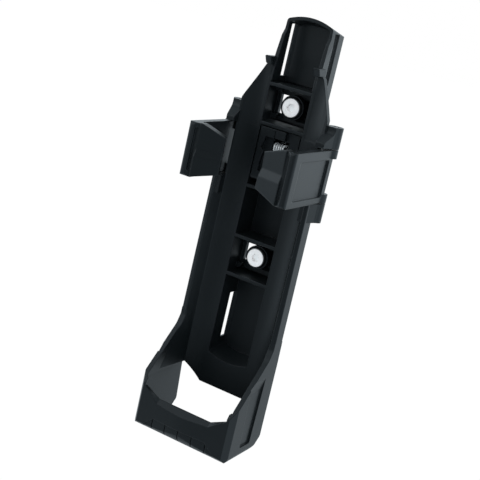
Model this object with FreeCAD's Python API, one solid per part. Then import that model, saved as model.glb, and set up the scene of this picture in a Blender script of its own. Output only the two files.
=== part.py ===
"""Bicycle bracket that carries a folded lock: a moulded cradle with two hinged flaps and a sprung pad.

Millimetres. +Z runs up along the bracket, +X to the right of someone facing it, +Y to the bicycle frame.
Everything is drawn from the plane of the channel's rib tops (y = 0) and moved forward at the end, so
the frame's origin lies midway between the two screws, on the plane of the back rails.
"""
import math
import os

import FreeCAD
import Part

# Layout
SCREW_PITCH = 64.0
SCREW_Z = SCREW_PITCH / 2
SEAT_Y = 16.8
WALL = 2.2

# Channel that holds the ribs and bays
CHANNEL_HALF = 9.58
CHANNEL_HALF_DEEP = CHANNEL_HALF - 0.28
CHANNEL_OUTER = CHANNEL_HALF + 1.32
CHANNEL_OUTER_BACK = CHANNEL_OUTER - 1.0
FLOOR_Y = 12.5
CHANNEL_END_Z = -76.95
CHANNEL_BLOCK_END_Z = -82.0
SADDLE_R = 20.0
SADDLE_HALF = CHANNEL_OUTER_BACK - 1.5
RIB_TOPS = (40.5, 24.44, -2.0, -23.65, -40.32)
RIB_T = 1.5

# Tongue above the top rib
TONGUE_TOP_Z = 66.1
TONGUE_ARCH = 3.7
TONGUE_RIM_Y = 3.9
TONGUE_TOP_SLOPE = 0.2
TONGUE_HALF = CHANNEL_HALF - 0.38
TONGUE_OUTER_TOP = TONGUE_HALF + 1.05
TONGUE_FLOOR_Y = FLOOR_Y - 0.8
STRAP_Z = ((43.1, 64.3), (-71.7, -51.3))
STRAP_H = 4.3

# Screw bays
PLATEAU_Y = 9.0
PLATEAU_GAP = 1.1
WINDOW_HALF_X = 7.8
WINDOW_HALF_Z = 4.0
BOSS_R = 5.1
BOSS_TOP_Y = 5.3
BOSS_STAYS = ((1.2, -0.5), (0.75, 2.3))
HEAD_R = 4.2
HEAD_TOP_Y = 3.85
HEAD_H = 3.5
HEAD_GAP = 0.35
SHANK_R = 2.5
SHANK_NECK_R = 2.0
SHANK_HOLE_GAP = 0.25
SHANK_FREE = 9.0
HEX_AF = 3.0
HEX_DEPTH = 2.0

# Wings and walls
WING_TOP_Z = 22.0
WING_JOIN_X = CHANNEL_HALF + 8.92
WALL_INNER = WING_JOIN_X + 2.35
WALL_OUTER_TOP = WALL_INNER + 1.5
WALL_OUTER_LOW = WALL_INNER + 2.1
WALL_FRONT_Y = -6.9
WALL_BEVEL = 0.3
WALL_REAR_Y = -0.5
WING_JOIN_Y = -2.5
WING_ROOT_X = CHANNEL_HALF + 0.6
WING_FLAT_X = CHANNEL_HALF + 4.6
SHOULDER_SINK = 0.05
SHOULDER_TOP = (CHANNEL_HALF + 3.42, 46.9)
SHOULDER_LOW = (WING_JOIN_X + 1.1, 31.9)
CATCH_OUTER = CHANNEL_HALF + 2.62
CATCH_Z = (47.3, 50.6)
CATCH_FRONT_Y = (-2.2, -4.4)

# Cup at the lower end
CUP_FLOOR_Z = -108.5
CUP_FLOOR_T = 1.7
CUP_FRONT_Y = -29.6
CUP_SIDE_X = WALL_OUTER_LOW
CUP_CORNER_X = CUP_SIDE_X - 2.0
CUP_CORNER_Y = -28.3
BAND_BACK_Y = -27.2
BAND_HALF = CUP_SIDE_X - 10.45
BAND_FRONT_Z = -96.0
BAND_BACK_Z = -93.5
BAND_END = (WALL_INNER - 1.0, -90.0)
PLATE_END_Z = -91.1
PLATE_CUT = ((CHANNEL_HALF + 1.02, PLATE_END_Z), (WING_JOIN_X, PLATE_END_Z + 6.7))
FLARE_Z = -60.0
CREASE_Z = -86.4
TOE_Y = -19.0
GRIP_PITCH = 6.5
GRIP_XS = tuple(GRIP_PITCH * index for index in (-2, -1, 0, 1, 2))
GRIP_SLOT = 0.5
GRIP_DEPTH = 0.55
GRIP_ROLL = 5.2
CUP_EDGE_R = 2.6
GRIP_TOP_Z = -102.1
GRIP_LOW_Z = CUP_FLOOR_Z + 2.6

# Hinges
HINGE_X = WALL_OUTER_TOP - 0.25
HINGE_Y = 2.4
KNUCKLE_R = 3.0
KNUCKLE_FRONT_Y = -6.2
UPPER_KNUCKLE = (21.7, 30.2)
RAMP_Z = (UPPER_KNUCKLE[0] + 2.1, UPPER_KNUCKLE[0] + 5.9)
LOWER_KNUCKLE = (-8.6, -0.8)
UPPER_EAR = (17.9, 21.3)
LOWER_EAR = (-0.4, 3.2)
FLAP_BAY = (-0.8, 21.7)
FLAP_BAY_X = WING_JOIN_X + 0.4
PIN_R = 1.1
PIN_RUNNING = 0.05
PIN_PRESS = 0.01
PIN_RECESS = 0.2

# Flaps
FLAP_OUTER = HINGE_X + 1.8
FLAP_INNER = FLAP_OUTER - 3.0
FLAP_FRONT_Y = -31.2
FLAP_REAR_Y = 2.3
FLAP_BOTTOM_Z = LOWER_EAR[0]
FLAP_TOP_Z = UPPER_EAR[1]
FLAP_PANEL_Y = (-26.0, -0.7)
FLAP_PANEL_Z = (2.1, 17.4)
FLAP_PANEL_DEPTH = 0.8
HOOK_ROOT_X = FLAP_INNER - 1.6
HOOK_TIP = ((HOOK_ROOT_X - 11.2, 17.6), (HOOK_ROOT_X - 11.2, 3.4))
HOOK_TIP_EDGE = (HOOK_ROOT_X - 10.94, -27.8)
HOOK_TIP_SLANT = 0.48
HOOK_SWEEP = (-11.5, 3.2)
HOOK_BACK_Y = -26.7

# Sprung pad in the second bay
PAD_HALF = CHANNEL_HALF - 0.5
PAD_FACE_Y = 0.3
PAD_Z = (0.8, 22.45)
PAD_T = 3.4
PAD_RAIL_X = PAD_HALF - 2.48
PIVOT_HALF = CHANNEL_HALF + 0.72
PIVOT_Y = 4.0
PIVOT_Z = 14.9
PIVOT_R = 0.9
COIL_WIRE = 0.95
COIL_OUTER = 2.2
COIL_TURNS = 5
COIL_HALF = 2.45
LEG_TIP_Y = 1.0


def vec(x, y, z):
    """Short form of a vector."""
    return FreeCAD.Vector(x, y, z)


def wire(points, place):
    """Closed outline through 2-D points; a third value on a point rounds that corner."""
    corners = []
    count = len(points)
    for index, point in enumerate(points):
        here = vec(point[0], point[1], 0)
        radius = point[2] if len(point) > 2 else 0.0
        if radius == 0.0:
            corners.append((here, None, here))
            continue
        before = points[index - 1]
        after = points[(index + 1) % count]
        back = (vec(before[0], before[1], 0) - here).normalize()
        ahead = (vec(after[0], after[1], 0) - here).normalize()
        half = back.getAngle(ahead) / 2
        reach = radius / math.tan(half)
        towards = (back + ahead).normalize()
        middle = here + towards * (radius / math.sin(half) - radius)
        corners.append((here + back * reach, middle, here + ahead * reach))
    edges = []
    for index, (start, middle, end) in enumerate(corners):
        if middle is not None:
            arc = Part.Arc(place(start.x, start.y), place(middle.x, middle.y), place(end.x, end.y))
            edges.append(arc.toShape())
        following = corners[(index + 1) % count][0]
        if (following - end).Length > 1e-6:
            edges.append(Part.makeLine(place(end.x, end.y), place(following.x, following.y)))
    return Part.Wire(edges)


def along_z(points, low, high):
    """Extrusion of an XY outline."""
    return Part.Face(wire(points, lambda a, b: vec(a, b, low))).extrude(vec(0, 0, high - low))


def along_x(points, low, high):
    """Extrusion of a YZ outline."""
    return Part.Face(wire(points, lambda a, b: vec(low, a, b))).extrude(vec(high - low, 0, 0))


def along_y(points, low, high):
    """Extrusion of an XZ outline."""
    return Part.Face(wire(points, lambda a, b: vec(a, low, b))).extrude(vec(0, high - low, 0))


def loft_y(near, near_y, far, far_y):
    """Ruled solid between two XZ outlines."""
    return Part.makeLoft([wire(near, lambda a, b: vec(a, near_y, b)),
                          wire(far, lambda a, b: vec(a, far_y, b))], True, True)


def loft_z(near, near_z, far, far_z):
    """Ruled solid between two XY outlines."""
    return Part.makeLoft([wire(near, lambda a, b: vec(a, b, near_z)),
                          wire(far, lambda a, b: vec(a, b, far_z))], True, True)


def box(x, y, z):
    """Block given by its three ranges."""
    return Part.makeBox(x[1] - x[0], y[1] - y[0], z[1] - z[0], vec(x[0], y[0], z[0]))


def rod(radius, start, axis, length):
    """Cylinder from a start point."""
    return Part.makeCylinder(radius, length, start, axis)


def mirrored(shape):
    """The same shape on the other side of the YZ plane."""
    return shape.mirror(vec(0, 0, 0), vec(1, 0, 0))


def both(shapes):
    """Shapes together with their mirror images."""
    return shapes + [mirrored(shape) for shape in shapes]


def fused(shapes):
    """One solid from overlapping ones."""
    return shapes[0].multiFuse(shapes[1:]).removeSplitter()


def channel_block():
    """Outside of the channel: drafted sides, arched tongue, lowered rim and saddle back."""
    block = along_z([(-CHANNEL_OUTER, 0), (CHANNEL_OUTER, 0),
                     (CHANNEL_OUTER_BACK, SEAT_Y, 0.6), (-CHANNEL_OUTER_BACK, SEAT_Y, 0.6)],
                    CHANNEL_BLOCK_END_Z, 71)
    arch = TONGUE_TOP_Z + TONGUE_ARCH
    ahead = 6.0
    rise = TONGUE_TOP_SLOPE * ahead
    outline = [(-CHANNEL_OUTER - 1, -90), (CHANNEL_OUTER + 1, -90), (CHANNEL_OUTER + 0.1, 48 + rise),
               (TONGUE_OUTER_TOP, TONGUE_TOP_Z + rise, 1.5), (0, arch + rise, 24),
               (-TONGUE_OUTER_TOP, TONGUE_TOP_Z + rise, 1.5), (-CHANNEL_OUTER - 0.1, 48 + rise)]
    face = Part.Face(wire(outline, lambda a, b: vec(a, TONGUE_RIM_Y - ahead, b)))
    front = face.extrude(vec(0, 22, -22 * TONGUE_TOP_SLOPE))
    side = along_x([(0, CHANNEL_BLOCK_END_Z), (SEAT_Y, CHANNEL_BLOCK_END_Z + 3.5, 1.5), (SEAT_Y, 71),
                    (TONGUE_RIM_Y, 71), (TONGUE_RIM_Y, 62.0, 1.0), (2.5, 59.5, 1.0), (1.4, 51.8),
                    (0.3, 46.5), (0, 42)], -13, 13)
    saddle_y = SEAT_Y + math.sqrt(SADDLE_R ** 2 - SADDLE_HALF ** 2)
    saddle = rod(SADDLE_R, vec(0, saddle_y, -90), vec(0, 0, 1), 170)
    return block.common(front).common(side).cut(saddle)


def channel_cavity():
    """Hollow of the channel and, above the top rib, of the tongue."""
    trough = loft_y([(CHANNEL_HALF, 41), (-CHANNEL_HALF, 41), (-CHANNEL_HALF, CHANNEL_END_Z, 0.8),
                     (0, CHANNEL_END_Z - 3.4, 24), (CHANNEL_HALF, CHANNEL_END_Z, 0.8)], -1,
                    [(CHANNEL_HALF_DEEP, 41), (-CHANNEL_HALF_DEEP, 41),
                     (-CHANNEL_HALF_DEEP, CHANNEL_END_Z + 1.9, 0.8), (0, CHANNEL_END_Z - 1.3, 24),
                     (CHANNEL_HALF_DEEP, CHANNEL_END_Z + 1.9, 0.8)], FLOOR_Y)
    ahead, depth = 6.0, TONGUE_FLOOR_Y - TONGUE_RIM_Y + 6.0
    corner = TONGUE_TOP_Z - 1.0 + TONGUE_TOP_SLOPE * ahead
    outline = [(TONGUE_HALF, RIB_TOPS[0]), (TONGUE_HALF, corner, 1.2), (0, corner + TONGUE_ARCH - 0.5, 24),
               (-TONGUE_HALF, corner, 1.2), (-TONGUE_HALF, RIB_TOPS[0])]
    face = Part.Face(wire(outline, lambda a, b: vec(a, TONGUE_RIM_Y - ahead, b)))
    tongue = face.extrude(vec(0, depth, -TONGUE_TOP_SLOPE * depth))
    return trough, tongue


def rib(top):
    """Cross rib with softened front edges."""
    return along_x([(0, top - RIB_T, 0.3), (0, top, 0.3), (FLOOR_Y + 0.6, top),
                    (FLOOR_Y + 0.6, top - RIB_T)], -CHANNEL_HALF - 0.5, CHANNEL_HALF + 0.5)


def bay_plateau(centre, upper_rib, lower_rib):
    """Raised floor of a screw bay with its boss, before anything is cut."""
    top = upper_rib - RIB_T + 0.3
    low = lower_rib + PLATEAU_GAP
    side = CHANNEL_HALF + 0.3
    floor = along_y([(-side, low), (side, low), (side, top), (-side, top)], PLATEAU_Y, FLOOR_Y + 0.5)
    boss = rod(BOSS_R, vec(0, BOSS_TOP_Y, centre), vec(0, 1, 0), FLOOR_Y + 1.0 - BOSS_TOP_Y)
    inner = CHANNEL_HALF - 2.6
    ledges = [along_y([(-side, low), (-inner - 1, low), (-inner, low + 1.1), (-inner, low + 2.2),
                       (-side, low + 2.2)], PLATEAU_Y - 2.2, PLATEAU_Y + 0.5),
              along_y([(-side, top - 2.4), (-inner, top - 2.4), (-inner, top), (-side, top)],
                      PLATEAU_Y - 2.2, PLATEAU_Y + 0.5)]
    return [floor] + ledges, boss


def bay_window(centre, low_limit):
    """Windows beside the boss and the gap in the back rails behind them.

    The boss stays standing, and so do a web and two round stays that close the right window.
    """
    window = along_y([(-WINDOW_HALF_X, centre - WINDOW_HALF_Z), (WINDOW_HALF_X, centre - WINDOW_HALF_Z),
                      (WINDOW_HALF_X, centre + WINDOW_HALF_Z), (-WINDOW_HALF_X, centre + WINDOW_HALF_Z)],
                     PLATEAU_Y - 3, FLOOR_Y)
    through = along_y([(-WINDOW_HALF_X, low_limit), (WINDOW_HALF_X, low_limit),
                       (WINDOW_HALF_X, centre + WINDOW_HALF_Z), (-WINDOW_HALF_X, centre + WINDOW_HALF_Z)],
                      FLOOR_Y - 1, SEAT_Y + 4)
    lip = along_x([(PLATEAU_Y - 0.5, centre - WINDOW_HALF_Z - 1.6), (PLATEAU_Y + 1.5, centre - WINDOW_HALF_Z),
                   (PLATEAU_Y - 0.5, centre - WINDOW_HALF_Z)], -WINDOW_HALF_X, WINDOW_HALF_X)
    side = CHANNEL_OUTER + 2
    behind = box((-side, side), (PLATEAU_Y + WALL, SEAT_Y + 4),
                 (centre - WINDOW_HALF_Z - 2.5, centre + WINDOW_HALF_Z - 0.3))
    web = box((BOSS_R / 2, side + 1), (PLATEAU_Y + 1.7, PLATEAU_Y + 3.3),
              (centre - WINDOW_HALF_Z - 3, centre + WINDOW_HALF_Z + 1))
    keep = [rod(BOSS_R, vec(0, 0, centre), vec(0, 1, 0), SEAT_Y + 10), web]
    for radius, rise in BOSS_STAYS:
        foot = vec(BOSS_R / 2, PLATEAU_Y + 1.6, centre + rise)
        keep.append(rod(radius, foot, vec(1, 0, 0), CHANNEL_HALF - 2))
    window = window.fuse(through).fuse(lip).fuse(behind)
    for piece in keep:
        window = window.cut(piece)
    return window


def screw_hole(centre):
    """Counterbore and clearance hole of one screw."""
    head = rod(HEAD_R + HEAD_GAP, vec(0, 0, centre), vec(0, 1, 0), HEAD_TOP_Y + HEAD_H)
    shank = rod(SHANK_R + SHANK_HOLE_GAP, vec(0, 0, centre), vec(0, 1, 0), SEAT_Y + 5)
    return head.fuse(shank)


def wing_points(outer):
    """Section of the right wing: from the channel over a hollow curve up to the side wall."""
    return [(WING_ROOT_X, 2.4), (WING_ROOT_X, 0), (WING_FLAT_X, 0.0, 14),
            (WING_JOIN_X, WING_JOIN_Y, 0.6), (WALL_INNER, WALL_FRONT_Y, 0.4),
            (outer, WALL_FRONT_Y + WALL_BEVEL, 0.4),
            (outer, WALL_REAR_Y, 0.6), (WING_JOIN_X + 0.8, 0.2, 3), (WING_FLAT_X - 0.6, 2.4, 6)]


def wing():
    """Right wing with its side wall from the flap bay down to the flare, and its plate down to the cup."""
    wall = loft_z(wing_points(WALL_OUTER_TOP), WING_TOP_Z, wing_points(WALL_OUTER_LOW), FLARE_Z)
    inner = WALL_OUTER_LOW - 1.0
    section = wing_points(inner)
    plate = loft_z(section, FLARE_Z, section, PLATE_END_Z)
    near, far, front = WING_JOIN_X + 0.1, inner - 0.2, WALL_FRONT_Y + WALL_BEVEL + 0.1
    root = [(near, -0.6), (near, WING_JOIN_Y + 0.1), (WALL_INNER + 0.05, front), (far, front), (far, -0.6)]
    toe = [(near, -0.6), (near, WING_JOIN_Y - 0.1), (WALL_INNER + 0.05, TOE_Y), (far, TOE_Y), (far, -0.6)]
    blend = loft_z(root, FLARE_Z, toe, CREASE_Z).common(along_x(cup_side(0), 0, 30))
    below = PLATE_END_Z - 8
    end = along_y([(0, PLATE_END_Z), PLATE_CUT[0], PLATE_CUT[1], (WALL_INNER + 2, CREASE_Z),
                   (WALL_INNER + 2, below), (0, below)], CUP_FRONT_Y, 5)
    bay = box((FLAP_BAY_X, 30), (-12, 8), FLAP_BAY)
    return [wall.cut(bay), plate.cut(end), blend.cut(end)]


def shoulder_points(join_y):
    """Section of the right shoulder plate."""
    edge = WING_JOIN_X + 3.0
    return [(WING_ROOT_X, 2.6), (WING_ROOT_X, SHOULDER_SINK), (WING_FLAT_X, SHOULDER_SINK, 14),
            (WING_JOIN_X, join_y),
            (edge, join_y - 0.4), (edge, join_y + 1.9), (WING_JOIN_X + 0.8, join_y + 2.4),
            (WING_FLAT_X - 0.6, 2.6, 6)]


def shoulder():
    """Right shoulder plate: the wing's thin continuation, flattening upward and cut to a slope."""
    (top_x, top_z), (low_x, low_z) = SHOULDER_TOP, SHOULDER_LOW
    low_y, high_y = WING_JOIN_Y + SHOULDER_SINK, -0.75
    foot = along_z(shoulder_points(low_y), WING_TOP_Z - 1, WING_TOP_Z)
    plate = fused([foot, loft_z(shoulder_points(low_y), WING_TOP_Z, shoulder_points(high_y), top_z + 3)])
    root = CHANNEL_HALF - 0.6
    outline = along_y([(root, WING_TOP_Z - 1), (root, top_z + 1.6), (CHANNEL_OUTER, top_z + 1.6),
                       (top_x, top_z, 0.8), (low_x, low_z),
                       (low_x + 0.3, UPPER_KNUCKLE[0]), (FLAP_BAY_X, UPPER_KNUCKLE[0])], -6, 6)
    return plate.common(outline)


def shoulder_hook():
    """Right catch block on the channel's edge beside the shoulder."""
    (low, high), (low_y, high_y) = CATCH_Z, CATCH_FRONT_Y
    block = along_x([(high_y, high, 0.3), (low_y, low, 0.4), (2.5, low), (2.5, high)],
                    CHANNEL_HALF, CATCH_OUTER)
    side = CATCH_OUTER - 0.4
    plan = along_y([(0, low - 1), (side, low - 1), (side, low), (CATCH_OUTER, low + 0.4),
                    (CATCH_OUTER, high - 0.4), (side, high), (side, high + 1),
                    (0, high + 1)], high_y - 1, 3)
    return block.common(plan)


def knuckle_plan():
    """Plan of a right cradle knuckle: the wall's front, flaring round the hinge barrel."""
    reach = HINGE_X + KNUCKLE_R
    return [(FLAP_BAY_X - 0.2, KNUCKLE_FRONT_Y), (WALL_OUTER_TOP, KNUCKLE_FRONT_Y, 0.5),
            (reach - 1.4, -0.9, 1.0),
            (reach - 0.1, HINGE_Y - 0.6), (reach - 0.8, HINGE_Y + 1.8), (HINGE_X, HINGE_Y + KNUCKLE_R - 0.1),
            (FLAP_BAY_X - 0.2, 2.0)]


def knuckles():
    """Both right cradle knuckles; the upper one ramps forward to the wall's front."""
    barrels = [rod(KNUCKLE_R, vec(HINGE_X, HINGE_Y, z[0]), vec(0, 0, 1), z[1] - z[0])
               for z in (UPPER_KNUCKLE, LOWER_KNUCKLE)]
    low, high = UPPER_KNUCKLE
    rear = HINGE_Y + KNUCKLE_R + 2
    front = KNUCKLE_FRONT_Y + 0.2
    ramp = along_x([(rear, low), (rear, high), (-1.0, high), (-1.0, RAMP_Z[1], 3.0), (front, RAMP_Z[0], 1.2),
                    (front, low)], FLAP_BAY_X - 1, HINGE_X + KNUCKLE_R + 1)
    upper = along_z(knuckle_plan(), low, high).common(ramp)
    lower = along_z(knuckle_plan(), LOWER_KNUCKLE[0], LOWER_KNUCKLE[1])
    return barrels + [upper, lower]


def back_plate():
    """Flat end plate below the channel, with its corners cut."""
    low_x, low_z = PLATE_CUT[0]
    top = CHANNEL_END_Z + 7
    return along_y([(-low_x - 0.6, top), (-low_x - 0.6, low_z + 0.5), (-low_x, low_z, 0.4), (low_x, low_z, 0.4),
                    (low_x + 0.6, low_z + 0.5), (low_x + 0.6, top)], 0, 2.4)


def cup_plan(inset):
    """Plan of the cup's outside, bowed at the front."""
    side = CUP_SIDE_X - inset
    corner = CUP_CORNER_X - inset * 0.7
    return [(-side, 0.3), (-side, -25.6, 0.5), (-corner, CUP_CORNER_Y + inset, 0.5),
            (0, CUP_FRONT_Y - 0.1 + inset, 60), (corner, CUP_CORNER_Y + inset, 0.5), (side, -25.6, 0.5),
            (side, 0.3)]


def cup_side(inset):
    """Side outline of the flared walls and the cup, rounded below."""
    return [(WALL_REAR_Y, FLARE_Z + 1), (0.0, -70), (0.3 - inset, -103.2, 2), (-3.9, -106.8 + inset, 4),
            (-10.4, CUP_FLOOR_Z + inset, 6), (CUP_FRONT_Y - 0.2 + inset, CUP_FLOOR_Z + inset, 6),
            (CUP_FRONT_Y - 0.2 + inset, -91.0), (CUP_CORNER_Y, -88.7), (-26.1, -85.2), (-8.6, -67.2, 6),
            (WALL_FRONT_Y + WALL_BEVEL / 2, -63.0, 3), (WALL_FRONT_Y + WALL_BEVEL / 2, FLARE_Z + 1)]


def band_notch():
    """Space cut from the cup's front above the band; its lower face is the band's bevel."""
    end_x, end_z = BAND_END
    run = BAND_BACK_Y - CUP_FRONT_Y
    slope = (BAND_BACK_Z - BAND_FRONT_Z) / run
    far_y = CUP_FRONT_Y - 3
    far_z = BAND_FRONT_Z - slope * 3
    front = [(-end_x, end_z), (-BAND_HALF, far_z), (BAND_HALF, far_z), (end_x, end_z), (end_x, -60),
             (-end_x, -60)]
    back = [(-end_x, end_z), (-BAND_HALF, BAND_BACK_Z), (BAND_HALF, BAND_BACK_Z), (end_x, end_z),
            (end_x, -60), (-end_x, -60)]
    return loft_y(front, far_y, back, BAND_BACK_Y).fuse(along_y(back, BAND_BACK_Y, BAND_BACK_Y + 8))


def cup_hollow():
    """Inside of the cup: straight above the crease, tapering below it, open at the back."""
    upper = box((-WALL_INNER, WALL_INNER), (BAND_BACK_Y, 12), (CREASE_Z, -50))
    cut = 0.8
    near = [(-WALL_INNER, 12), (-WALL_INNER, BAND_BACK_Y + cut), (-WALL_INNER + cut, BAND_BACK_Y),
            (WALL_INNER - cut, BAND_BACK_Y), (WALL_INNER, BAND_BACK_Y + cut), (WALL_INNER, 12)]
    low_half = WALL_INNER - 1.15
    far_y = BAND_BACK_Y + 0.6
    far = [(-low_half, 12), (-low_half, far_y + cut), (-low_half + cut, far_y), (low_half - cut, far_y),
           (low_half, far_y + cut), (low_half, 12)]
    return upper.fuse(loft_z(near, CREASE_Z, far, CUP_FLOOR_Z + CUP_FLOOR_T))


def side_recess():
    """Shallow panel sunk in the right outer face of the cup, fading out at its top."""
    low, mid, top = CUP_FLOOR_Z + 4.7, CREASE_Z + 6.4, CREASE_Z + 13.4
    front = CUP_FRONT_Y + 10.3
    depth, beyond = CUP_SIDE_X - 0.8, CUP_SIDE_X + 3
    outline = along_x([(front, top), (front + 0.6, mid), (front + 2.2, low, 1), (front + 10.3, low, 1),
                       (front + 11.2, mid), (front + 11.4, top)], depth - 2, beyond)
    return outline.common(along_y([(depth, low - 1), (depth, mid), (CUP_SIDE_X + 0.05, top - 1.4),
                                   (beyond, top - 1.4), (beyond, low - 1)], CUP_FRONT_Y - 5, 20))


def grip_core(inset):
    """Cup's body drawn in by the finger grip, its front rolling under to the floor."""
    front = CUP_FRONT_Y - 0.1 + inset
    low = CUP_FLOOR_Z + inset - GRIP_DEPTH
    roll = along_x([(0, FLARE_Z), (0, low), (front, low, GRIP_ROLL), (front, FLARE_Z)],
                   -CUP_SIDE_X, CUP_SIDE_X)
    return along_z(cup_plan(inset), CUP_FLOOR_Z - 2, FLARE_Z).common(roll)


def grip_cutters():
    """Trapezium-shaped finger grip under the band and the thin grooves across it."""
    half, foot, below = BAND_HALF, BAND_HALF + 4.5, CUP_FLOOR_Z - 3
    zone = along_y([(-half, GRIP_TOP_Z), (half, GRIP_TOP_Z), (foot, GRIP_LOW_Z), (foot + 1, below),
                    (-foot - 1, below), (-foot, GRIP_LOW_Z)], CUP_FRONT_Y - 6, CUP_FRONT_Y + 14)
    scoop = zone.cut(grip_core(GRIP_DEPTH))
    skin = zone.cut(grip_core(2 * GRIP_DEPTH))
    bars = [box((x - GRIP_SLOT / 2, x + GRIP_SLOT / 2), (-45, 0), (-130, -90)) for x in GRIP_XS]
    return [scoop] + [skin.common(bar) for bar in bars]


def cup():
    """Flared walls, band and floor."""
    body = along_z(cup_plan(0), CUP_FLOOR_Z - 1, FLARE_Z).common(along_x(cup_side(0), -30, 30))
    body = body.common(along_y([(-CUP_SIDE_X, FLARE_Z), (-CUP_SIDE_X, CUP_FLOOR_Z, CUP_EDGE_R),
                                (CUP_SIDE_X, CUP_FLOOR_Z, CUP_EDGE_R), (CUP_SIDE_X, FLARE_Z)],
                               CUP_FRONT_Y - 2, 4))
    body = body.cut(cup_hollow()).cut(band_notch())
    for cutter in both([side_recess()]) + grip_cutters():
        body = body.cut(cutter)
    return body


def strap_slot(low, high, floor):
    """Right slot for a strap, and the bevel strip left between it and the floor."""
    slot = box((CHANNEL_HALF_DEEP - 1.2, 13), (floor - 0.6 - STRAP_H, floor - 0.6), (low, high))
    strip = along_z([(CHANNEL_HALF + 0.3, floor - 0.6), (CHANNEL_HALF_DEEP, floor - 0.6),
                     (CHANNEL_HALF_DEEP - 1.1, floor + 0.2), (CHANNEL_HALF + 0.3, floor + 0.2)], low, high)
    return slot, strip


def pin_holes():
    """Press holes for the right hinge pins, open at both ends of each knuckle."""
    radius = PIN_R - PIN_PRESS
    return [rod(radius, vec(HINGE_X, HINGE_Y, low - 1), vec(0, 0, 1), high - low + 2)
            for low, high in (UPPER_KNUCKLE, LOWER_KNUCKLE)]


def cradle():
    """One-piece moulded cradle."""
    solid = fused([channel_block(), back_plate()] + both(wing() + [shoulder(), shoulder_hook()] + knuckles()))
    trough, tongue = channel_cavity()
    solid = solid.cut(trough).cut(tongue)
    inside = [rib(top) for top in RIB_TOPS]
    bays = ((SCREW_Z, RIB_TOPS[0], RIB_TOPS[1], SCREW_Z - WINDOW_HALF_Z),
            (-SCREW_Z, RIB_TOPS[3], RIB_TOPS[4], -SCREW_Z - 2.5))
    for centre, upper, lower, _ in bays:
        pieces, boss = bay_plateau(centre, upper, lower)
        inside += pieces + [boss]
    slots = []
    for (low, high), floor in zip(STRAP_Z, (TONGUE_FLOOR_Y, FLOOR_Y)):
        slot, strip = strap_slot(low, high, floor)
        slots += both([slot])
        inside += both([strip])
    solid = fused([solid, cup()] + inside)
    cutters = slots + both(pin_holes())
    for centre, _, _, low_limit in bays:
        cutters += [bay_window(centre, low_limit), screw_hole(centre)]
    cutters.append(rod(PIVOT_R - PIN_PRESS, vec(-PIVOT_HALF, PIVOT_Y, PIVOT_Z), vec(1, 0, 0), 2 * PIVOT_HALF))
    for cutter in cutters:
        solid = solid.cut(cutter)
    return solid


def flap_hook():
    """Right flap's hook: a grip profile swept inward and backward, cut to its front outline."""
    root = HOOK_ROOT_X
    front, low = FLAP_FRONT_Y, FLAP_BOTTOM_Z
    profile = [(HOOK_BACK_Y, low), (front + 0.3, low, 0.6), (front + 0.3, low + 8.8, 1.5),
               (front + 1.3, low + 11.8, 1.5), (front + 0.7, FLAP_TOP_Z, 0.5), (HOOK_BACK_Y, FLAP_TOP_Z)]
    face = Part.Face(wire(profile, lambda a, b: vec(root, a, b)))
    body = face.extrude(vec(HOOK_SWEEP[0], HOOK_SWEEP[1], 0))
    (top_x, top_z), (low_x, low_z) = HOOK_TIP
    outline = along_y([(root + 0.5, FLAP_BOTTOM_Z), (low_x, low_z, 0.6), (top_x, top_z, 0.6),
                       (root - 0.95, FLAP_TOP_Z - 0.1, 2.5), (root + 0.5, FLAP_TOP_Z)], front - 9, front + 21)
    edge_x, edge_y = HOOK_TIP_EDGE
    tip = along_z([(edge_x - 6 * HOOK_TIP_SLANT, edge_y - 6), (edge_x + 12 * HOOK_TIP_SLANT, edge_y + 12),
                   (0, edge_y + 12), (0, edge_y - 6)], low - 5, FLAP_TOP_Z + 4)
    return body.common(outline).cut(tip)


def flap():
    """Right flap: side plate, raised front border, hook and two hinge ears."""
    plan = [(FLAP_OUTER, FLAP_REAR_Y), (FLAP_OUTER, FLAP_FRONT_Y, 1.3), (FLAP_INNER + 0.4, FLAP_FRONT_Y, 0.7),
            (HOOK_ROOT_X, FLAP_FRONT_Y + 1.3), (HOOK_ROOT_X, HOOK_BACK_Y), (FLAP_INNER, HOOK_BACK_Y, 1.2),
            (FLAP_INNER, FLAP_REAR_Y)]
    plate = along_z(plan, FLAP_BOTTOM_Z, FLAP_TOP_Z)
    trim = along_x([(FLAP_REAR_Y + 1, FLAP_BOTTOM_Z), (FLAP_FRONT_Y, FLAP_BOTTOM_Z, 1.2),
                    (FLAP_FRONT_Y, FLAP_TOP_Z - 0.2, 1.2), (FLAP_REAR_Y + 1, FLAP_TOP_Z)],
                   HOOK_ROOT_X - 4, FLAP_OUTER + 6)
    plate = plate.common(trim)
    ears = [rod(KNUCKLE_R, vec(HINGE_X, HINGE_Y, z[0]), vec(0, 0, 1), z[1] - z[0])
            for z in (UPPER_EAR, LOWER_EAR)]
    solid = fused([plate, flap_hook()] + ears)
    (rear, front), (low, high) = (FLAP_PANEL_Y[1], FLAP_PANEL_Y[0]), FLAP_PANEL_Z
    panel = along_x([(front, low, 0.8), (front, high, 0.8), (rear, high, 0.8), (rear, low, 0.8)],
                    FLAP_OUTER - FLAP_PANEL_DEPTH, FLAP_OUTER + 2)
    edge = FLAP_INNER + 0.2
    groove = along_y([(HOOK_ROOT_X, low - 0.1, 0.7), (edge, low - 0.1, 0.7), (edge, high + 2, 0.7),
                      (HOOK_ROOT_X, high + 2, 0.7)], FLAP_FRONT_Y - 4, FLAP_FRONT_Y + 1.3)
    holes = [rod(PIN_R + PIN_RUNNING, vec(HINGE_X, HINGE_Y, UPPER_EAR[0] + 0.6), vec(0, 0, 1), 10),
             rod(PIN_R + PIN_RUNNING, vec(HINGE_X, HINGE_Y, LOWER_EAR[1] - 0.6 - 10), vec(0, 0, 1), 10)]
    for cutter in [panel, groove] + holes:
        solid = solid.cut(cutter)
    return solid


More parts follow.
